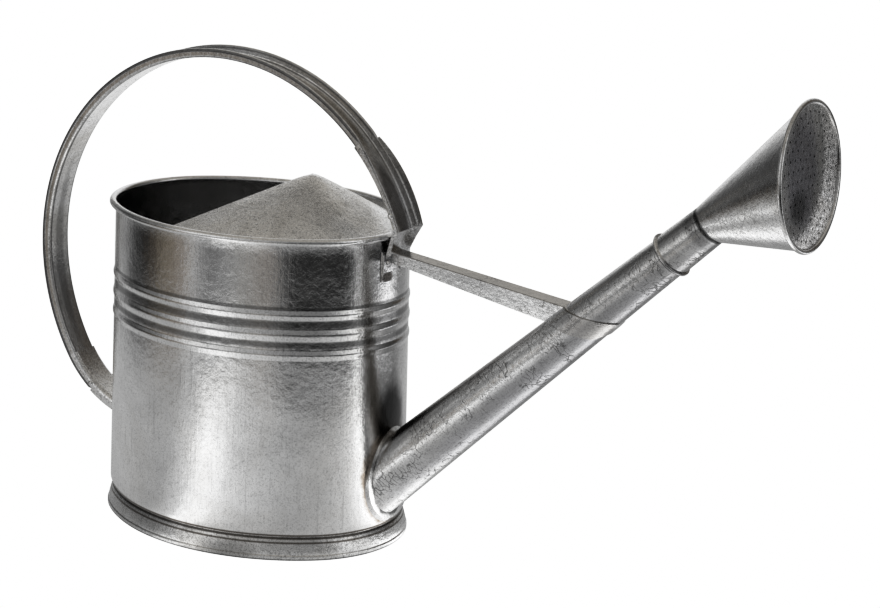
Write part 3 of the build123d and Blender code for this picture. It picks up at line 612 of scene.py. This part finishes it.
def zinc_group():
    """A group of colour, roughness and height for weathered zinc."""
    group = bpy.data.node_groups.new("weathered_zinc", "ShaderNodeTree")
    sockets = [("Vector", "NodeSocketVector", None), ("Streak Scale", "NodeSocketVector", STREAK_SCALE),
               ("Crack Scale", "NodeSocketVector", PLAIN_SCALE)]
    sockets += [(name, "NodeSocketFloat", value) for name, value in MARKS.items()]
    for name, kind, value in sockets:
        socket = group.interface.new_socket(name, in_out="INPUT", socket_type=kind)
        if value is not None:
            socket.default_value = value
    results = (("Color", "NodeSocketColor"), ("Roughness", "NodeSocketFloat"), ("Height", "NodeSocketFloat"))
    for name, kind in results:
        group.interface.new_socket(name, in_out="OUTPUT", socket_type=kind)
    given = group.nodes.new("NodeGroupInput").outputs
    result = group.nodes.new("NodeGroupOutput").inputs
    place = given["Vector"]

    def noise(vector, scale, detail, roughness=0.6, distortion=0.0, output=0):
        return add(group, "ShaderNodeTexNoise", {
            "Vector": vector, "Scale": scale, "Detail": detail,
            "Roughness": roughness, "Distortion": distortion,
        }).outputs[output]

    def marks(pattern, low, high, amount):
        return times(group, span(group, pattern, low, high), amount)

    # the patterns, from the largest to the smallest
    patches = noise(place, 9.0, 5.0, 0.7, 0.6)
    clouds = noise(place, 22.0, 4.0, 0.62)
    wrinkles = noise(place, 300.0, 4.0, 0.7, 0.4)
    grain = noise(place, 900.0, 2.0, 0.7)
    stretched = vector_node(group, "MULTIPLY", place, given["Streak Scale"])
    streaks = noise(stretched, 5.0, 5.0, 0.75)

    # crackle lines: the edges of small cells, bent out of shape, in some places only
    cracked = vector_node(group, "MULTIPLY", place, given["Crack Scale"])
    warp = vector_node(group, "MULTIPLY", noise(place, 160.0, 3.0, output=1), (0.006, 0.006, 0.006))
    bent = vector_node(group, "ADD", cracked, warp)
    cells = add(group, "ShaderNodeTexVoronoi", {"Vector": bent, "Scale": 190.0}, feature="DISTANCE_TO_EDGE")
    lines = span(group, cells.outputs[0], 0.01, 0.085, 1.0, 0.0)
    where = span(group, noise(place, 55.0, 4.0, 0.7), 0.47, 0.60)
    crackle = times(group, lines, where, given["Crackle"])

    dull = marks(patches, 0.42, 0.72, given["Tarnish"])
    scratch = marks(streaks, 0.55, 0.72, given["Scratches"])
    spots = marks(grain, 0.50, 0.66, given["Speckle"])
    pits = marks(wrinkles, 0.56, 0.70, given["Wrinkle"])

    # colour: the tone, darkened by each mark, and warmed a little where it is dull
    light = times(group, given["Tone"], span(group, clouds, 0.3, 0.7, 0.88, 1.1, smooth=False))
    for mask, depth in ((dull, DULL_DEPTH), (crackle, CRACKLE_DEPTH), (scratch, SCRATCH_DEPTH),
                        (spots, SPOT_DEPTH), (pits, PIT_DEPTH)):
        light = times(group, light, math_node(group, "SUBTRACT", 1.0, times(group, mask, depth)))
    tone = add(group, "ShaderNodeCombineColor", {0: light, 1: light, 2: light}).outputs[0]
    tint = mix(group, dull, PLAIN_SCALE, WARM)
    group.links.new(mix(group, 1.0, tone, tint, blend="MULTIPLY"), result["Color"])

    # roughness: dull places and spots are rougher
    rough = math_node(group, "ADD", given["Roughness"], times(group, dull, 0.12))
    rough = math_node(group, "ADD", rough, times(group, spots, 0.10), clamp=True)
    group.links.new(rough, result["Roughness"])

    # height: slow waves, wrinkles, drawn lines and grain stand up, and crackle is cut in
    ripple = times(group, clouds, 0.7)
    for step in (times(group, wrinkles, given["Wrinkle"], 0.30),
                 times(group, streaks, given["Scratches"], 0.16),
                 times(group, grain, given["Speckle"], 0.035)):
        ripple = math_node(group, "ADD", ripple, step)
    ripple = math_node(group, "SUBTRACT", ripple, times(group, crackle, 0.12))
    group.links.new(ripple, result["Height"])
    return group


ZINC = zinc_group()
print("zinc group nodes:", len(ZINC.nodes))

# %% [markdown]
# Most of these soft patches are painted shade and painted dark reflections: in creases, under beads,
# between ribs, and where nearby parts would darken the metal, which a simple studio doesn't give. A few
# are dark seams and rings. Each patch here is a soft-edged ellipsoid with a ragged edge, and the metal
# inside it is multiplied by a colour. A patch that is very large in two directions makes a thin band.
# Painting with a brush would need a texture map, and these need only a place and a size.

# %% Painted shade and stains
WIDE = 900.0              # larger than the can, so a stain this wide is a slab
RAGGED_SCALE, RAGGED_DEPTH = 120.0, 0.25


def patch(tree, place, centre, half_sizes, inner=0.6, outer=1.0):
    """A soft-edged ellipsoid: 1 inside it and 0 outside."""
    offset = vector_node(tree, "SUBTRACT", place, tuple(v * MM for v in centre))
    scaled = vector_node(tree, "MULTIPLY", offset, tuple(1 / (v * MM) for v in half_sizes))
    reach = vector_node(tree, "LENGTH", scaled)
    ragged = add(tree, "ShaderNodeTexNoise", {"Vector": place, "Scale": RAGGED_SCALE, "Detail": 3.0})
    wander = times(tree, math_node(tree, "SUBTRACT", ragged.outputs[0], 0.5), RAGGED_DEPTH)
    return span(tree, math_node(tree, "ADD", reach, wander), inner, outer, 1.0, 0.0)


def level_band(z, half_height, tint, inner, outer):
    """A dark band that runs level all round the can, for painted shade and for seams."""
    return (0.0, 0.0, z), (WIDE, WIDE, half_height), tint, inner, outer


print("stains are slabs when", WIDE, "mm wide")

# %% [markdown]
# Every finish is a Principled shader with full metal, fed by the zinc group, with its painted shade
# and stains mixed into the colour. Scratches run along the part, so the spout's and the brace's
# patterns are leant over to lie along them. The rose's plate looks slightly dished though it is flat,
# because its finish leans the surface's direction towards its edge.

# %% Zinc finish
DISH_FADE = (0.038, 0.050)


def dished(tree, place, centre, swell):
    """The surface's direction, leant over by a swell outside the middle of a plate."""
    offset = vector_node(tree, "SUBTRACT", place, centre)
    reach = span(tree, vector_node(tree, "LENGTH", offset), *DISH_FADE)
    lean = add(tree, "ShaderNodeVectorMath", {0: swell, "Scale": reach}, operation="SCALE").outputs[0]
    plain = add(tree, "ShaderNodeNewGeometry").outputs["Normal"]
    return vector_node(tree, "NORMALIZE", vector_node(tree, "ADD", plain, lean))


def zinc(name, streak=STREAK_SCALE, crack=PLAIN_SCALE, turn=0.0, dome=None, shade_and_stains=(), **amounts):
    """A zinc finish. turn leans its patterns in the spout's plane; dome is a plate's centre and swell.
    shade_and_stains are soft patches of painted shade, painted reflection and stains: centre, half sizes,
    colour to multiply by, inner and outer edge."""
    material = bpy.data.materials.new(name)
    material.use_nodes = True
    tree = material.node_tree
    shader = tree.nodes["Principled BSDF"]
    place = add(tree, "ShaderNodeTexCoord").outputs["Object"]
    relief = add(tree, "ShaderNodeBump", {"Strength": 1.0, "Distance": 0.001})
    if dome:
        tree.links.new(dished(tree, place, *dome), relief.inputs["Normal"])
    if turn:
        place = add(tree, "ShaderNodeMapping", {"Vector": place, "Rotation": (0, turn, 0)}).outputs[0]
    skin = tree.nodes.new("ShaderNodeGroup")
    skin.node_tree = ZINC
    skin.inputs["Streak Scale"].default_value = streak
    skin.inputs["Crack Scale"].default_value = crack
    tree.links.new(place, skin.inputs["Vector"])
    for key, value in amounts.items():
        skin.inputs[key].default_value = value
    tree.links.new(skin.outputs["Height"], relief.inputs["Height"])
    shader.inputs["Metallic"].default_value = 1.0
    colour = skin.outputs["Color"]
    for centre, half_sizes, darkening, inner, outer in shade_and_stains:
        mask = patch(tree, place, centre, half_sizes, inner, outer)
        colour = mix(tree, mask, colour, mix(tree, 1.0, colour, darkening, blend="MULTIPLY"))
    tree.links.new(colour, shader.inputs["Base Color"])
    tree.links.new(skin.outputs["Roughness"], shader.inputs["Roughness"])
    tree.links.new(relief.outputs[0], shader.inputs["Normal"])
    print(name, "nodes:", len(tree.nodes), "stains:", len(shade_and_stains))
    return material


# %% [markdown]
# The wall is smooth, so it mirrors the room sharply. It is painted dark round and above the spout's
# root, as shade and as a dark reflection of the spout, and in thin lines of painted shade at its foot
# and beside the ribs. The bead round the root has a painted dark edge of shade too. The bottom gets a
# dark, dull finish, because little light reaches it.

# %% Wall, bead and inside finishes
ROOT = (107.0, 0.0, 50.0)
# Painted shade round the spout's root and at the foot, painted dark reflections of the spout above the root
# and up the front, and painted dark reflections above and between the ribs.
WALL_PAINTED_SHADE = (
    (ROOT, (40.0, 26.0, 33.0), (0.42, 0.37, 0.32), 0.94, 1.12),                          # round the root
    ((104.0, 1.0, 86.0), (60.0, 20.0, 36.0), (0.10, 0.10, 0.10), 0.5, 1.05),             # above the root
    ((104.0, -4.0, 110.0), (60.0, 14.0, 62.0), (0.55, 0.55, 0.55), 0.4, 1.1),            # up the front
    level_band(15.9, 1.6, (0.20, 0.18, 0.16), 0.4, 1.0),                                 # at the foot
    level_band(170.0, 1.5, (0.45, 0.45, 0.45), 0.3, 1.2),                                # above the ribs
    level_band(159.3, 3.4, (0.42, 0.42, 0.42), 0.3, 1.1),                                # between the ribs
    level_band(145.9, 2.8, (0.42, 0.42, 0.42), 0.3, 1.1),
)
# Painted shade along the edge where the root's bead meets the wall.
BEAD_PAINTED_SHADE = ((ROOT, (40.0, 20.7, 27.9), (0.25, 0.25, 0.25), 0.97, 1.04),)

wall_zinc = zinc(
    "wall_zinc", shade_and_stains=WALL_PAINTED_SHADE,
    Tone=0.90, Tarnish=0.22, Crackle=0.10, Scratches=0.5, Speckle=0.45, Wrinkle=0.42, Roughness=0.09,
)
root_zinc = zinc(
    "root_zinc", shade_and_stains=BEAD_PAINTED_SHADE,
    Tone=0.95, Tarnish=0.3, Crackle=0.2, Scratches=0.3, Speckle=0.6, Wrinkle=0.5, Roughness=0.12,
)
inside_zinc = zinc(
    "inside_zinc",
    Tone=0.3, Tarnish=0.5, Crackle=0.1, Scratches=0.2, Speckle=0.3, Wrinkle=0.3, Roughness=0.4,
)

# %% [markdown]
# The foot and the hood have rougher zinc than the rest of what shows. The foot's scratches run level
# along it, and its seam lines are dark. The underside of its hem, its back and a place on its near side
# are darkened as painted shade. The hood is dull and speckled all over.

# %% Foot and hood finishes
FOOT_SHADE_AND_SEAMS = (
    level_band(14.3, 1.3, (0.15, 0.14, 0.13), 0.3, 0.9),                                 # two seam lines
    level_band(11.4, 1.0, (0.25, 0.23, 0.21), 0.3, 0.9),
    # Painted shade under the hem, towards the back and in a place on the near side.
    level_band(0.0, 1.4, (0.25, 0.25, 0.25), 0.4, 1.0),                                  # under the hem
    ((-70.0, -70.0, 8.0), (90.0, 50.0, 30.0), (0.62, 0.62, 0.62), 0.5, 1.0),             # towards the back
    ((35.0, -85.0, 5.0), (26.0, 20.0, 9.0), (0.60, 0.60, 0.60), 0.3, 1.1),               # on the near side
)

foot_zinc = zinc(
    "foot_zinc", streak=(12.0, 12.0, 90.0), shade_and_stains=FOOT_SHADE_AND_SEAMS,
    Tone=0.95, Tarnish=0.4, Crackle=0.3, Scratches=0.6, Speckle=0.9, Wrinkle=0.9, Roughness=0.22,
)
hood_zinc = zinc(
    "hood_zinc", streak=(50.0, 30.0, 50.0),
    Tone=1.0, Tarnish=0.75, Crackle=0.15, Scratches=0.9, Speckle=0.9, Wrinkle=1.1, Roughness=0.22,
)

# %% [markdown]
# The strap is painted dark with shade along its rolled edges and where it goes into the front
# bracket, and with dark reflections over the hood and behind the can. Four thin upright slabs draw the
# lines of painted shade along the edges. The brackets, the rivets and the wire share one finish.

# %% Strap and bracket finishes
def painted_edge_shade(y, half_width, grey):
    """A line of painted shade along the whole strap, beside a rolled edge."""
    return (0.0, y, 150.0), (WIDE, half_width, WIDE), (grey, grey, grey), 0.4, 1.1


STRAP_PAINTED_SHADE = (
    # Painted shade where the strap goes into the front bracket, painted dark reflections over the hood and
    # behind the can, and lines of painted shade along the rolled edges.
    ((106.0, 1.0, 236.0), (26.0, 8.0, 36.0), (0.30, 0.29, 0.28), 0.6, 1.1),             # at the front bracket
    ((52.0, 1.0, 297.0), (60.0, 7.0, 36.0), (0.62, 0.57, 0.50), 0.6, 1.1),               # over the hood
    ((-172.0, 0.0, 150.0), (30.0, 5.0, 90.0), (0.60, 0.60, 0.60), 0.5, 1.1),             # behind the can
    painted_edge_shade(-11.6, 0.75, 0.25), painted_edge_shade(11.6, 0.75, 0.30), painted_edge_shade(-8.7, 0.7, 0.30), painted_edge_shade(8.7, 0.7, 0.40),
)
# Painted shadow on the front bracket's plate, under the brace's tab.
BRACKET_PAINTED_SHADOW = (((106.0, -9.0, 187.0), (6.0, 6.5, 4.5), (0.16, 0.15, 0.14), 0.6, 1.1),)

strap_zinc = zinc(
    "strap_zinc", streak=(16.0, 90.0, 16.0), shade_and_stains=STRAP_PAINTED_SHADE,
    Tone=0.88, Tarnish=0.6, Crackle=0.3, Scratches=0.7, Speckle=0.7, Wrinkle=0.6, Roughness=0.10,
)
bracket_zinc = zinc(
    "bracket_zinc", shade_and_stains=BRACKET_PAINTED_SHADOW,
    Tone=0.95, Tarnish=0.5, Crackle=0.3, Scratches=0.3, Speckle=0.8, Wrinkle=0.9, Roughness=0.11,
)

# %% [markdown]
# The spout shows the crackle most. It is painted darker underneath as shade, and it is darker along
# its top, and the collar, which shares its finish, has dark rings at its two ends. The patches of
# these leant finishes are placed in leant coordinates: along the axis, across, and over it.

# %% Spout and brace finishes
AXIS_START, LEANT = float(SPOUT @ AXIS), float(SPOUT @ OVER)
BRACE_TURN = math.radians(-6.39)


def hoop_band(along, half_length, grey, inner=0.3):
    """A stain that runs round the spout at a distance along its axis."""
    return (AXIS_START + along, 0.0, 0.0), (half_length, WIDE, WIDE), (grey, grey, grey), inner, 1.0


SPOUT_SHADE_AND_STAINS = (
    # Painted shade under the spout.
    ((AXIS_START + 110, -10.0, LEANT - 12), (210.0, 15.0, 14.0), (0.55, 0.55, 0.56), 0.45, 1.1),     # below
    ((AXIS_START + 100, -4.0, LEANT + 17.5), (230.0, 16.0, 5.5), (0.22, 0.21, 0.20), 0.5, 1.1),      # on top
    hoop_band(254.2, 1.6, 0.16), hoop_band(249.0, 7.0, 0.60, inner=0.2), hoop_band(220.6, 1.3, 0.18),
)
BRACE_PAINTED_SHADE = (
    # Painted shade along the brace's upper edge and where it meets the spout.
    ((180.0, 0.0, 213.9), (WIDE, WIDE, 0.9), (0.36, 0.34, 0.31), 0.5, 1.0),              # its upper edge
    ((238.0, -12.0, 198.0), (28.0, 14.0, 24.0), (0.62, 0.61, 0.60), 0.7, 1.05),          # at the spout
)

spout_zinc = zinc(
    "spout_zinc", streak=(3.0, 90.0, 90.0), crack=(1.7, 0.8, 0.8), turn=TILT, shade_and_stains=SPOUT_SHADE_AND_STAINS,
    Tone=0.93, Tarnish=0.22, Crackle=0.8, Scratches=0.4, Speckle=0.6, Wrinkle=0.55, Roughness=0.14,
)
brace_zinc = zinc(
    "brace_zinc", streak=(6.0, 60.0, 60.0), turn=BRACE_TURN, shade_and_stains=BRACE_PAINTED_SHADE,
    Tone=1.0, Tarnish=0.05, Crackle=0.5, Scratches=0.4, Speckle=0.5, Wrinkle=0.5, Roughness=0.16,
)

# %% [markdown]
# The rose's cone has a dark seam at the collar. The plate is wrinkled, and has painted dark
# reflections in its middle and low on its near side, and its leant edge picks up the bright patch of
# the table. Its rolled rim is plain.

# %% Rose finishes
CONE_STAINS = (hoop_band(255.0, 2.0, 0.16),)
PLATE_PAINTED_REFLECTION = (
    # Painted dark reflections on the plate, low on its near side and in its middle.
    ((388.0, -17.0, 278.0), (20.0, 15.0, 13.0), (0.12, 0.12, 0.13), 0.4, 1.1),           # low, near side
    ((387.0, -12.0, 298.0), (20.0, 30.0, 44.0), (0.52, 0.52, 0.58), 0.5, 1.0),           # the middle
)
PLATE_CENTRE, PLATE_SWELL = (0.3872, -0.024, 0.304), (0.0, -0.05, -0.36)

cone_zinc = zinc(
    "cone_zinc", streak=(3.0, 60.0, 60.0), turn=TILT, shade_and_stains=CONE_STAINS,
    Tone=0.84, Tarnish=0.35, Crackle=0.25, Scratches=0.7, Speckle=0.7, Wrinkle=0.5, Roughness=0.15,
)
plate_zinc = zinc(
    "plate_zinc", dome=(PLATE_CENTRE, PLATE_SWELL), shade_and_stains=PLATE_PAINTED_REFLECTION,
    Tone=0.9, Tarnish=0.6, Crackle=0.5, Scratches=0.2, Speckle=0.9, Wrinkle=2.0, Roughness=0.07,
)
bead_zinc = zinc(
    "bead_zinc",
    Tone=0.86, Tarnish=0.4, Crackle=0.3, Scratches=0.3, Speckle=0.6, Wrinkle=0.6, Roughness=0.13,
)

# %% [markdown]
# Now each piece gets its finish. The drawn pieces take theirs as their only material. The CAD parts
# that are kept, such as the brackets and the brace, keep their meshes and have the material in their
# slots changed.

# %% Putting the finishes on
DRAWN = ((wall, wall_zinc), (foot, foot_zinc), (hood, hood_zinc),
         (strap, strap_zinc), (spout, spout_zinc), (cone, cone_zinc))
KEPT = {
    bracket_zinc: ("rim_wire", "front_bracket", "rear_bracket", "front_handle_rivets", "rear_handle_rivets",
                   "brace_rivets", "rear_plate_rivets"),
    inside_zinc: ("bottom_plate",),
    root_zinc: ("spout_root_bead",),
    brace_zinc: ("brace",),
    spout_zinc: ("rose_collar",),
    plate_zinc: ("rose_plate",),
    bead_zinc: ("rose_rim_bead",),
}
for piece, material in DRAWN:
    piece.data.materials.clear()
    piece.data.materials.append(material)
for material, names in KEPT.items():
    for name in names:
        for entry in nodes[name].material_slots:
            entry.material = material
print("finished:", len(DRAWN), "drawn pieces and", sum(map(len, KEPT.values())), "kept parts")
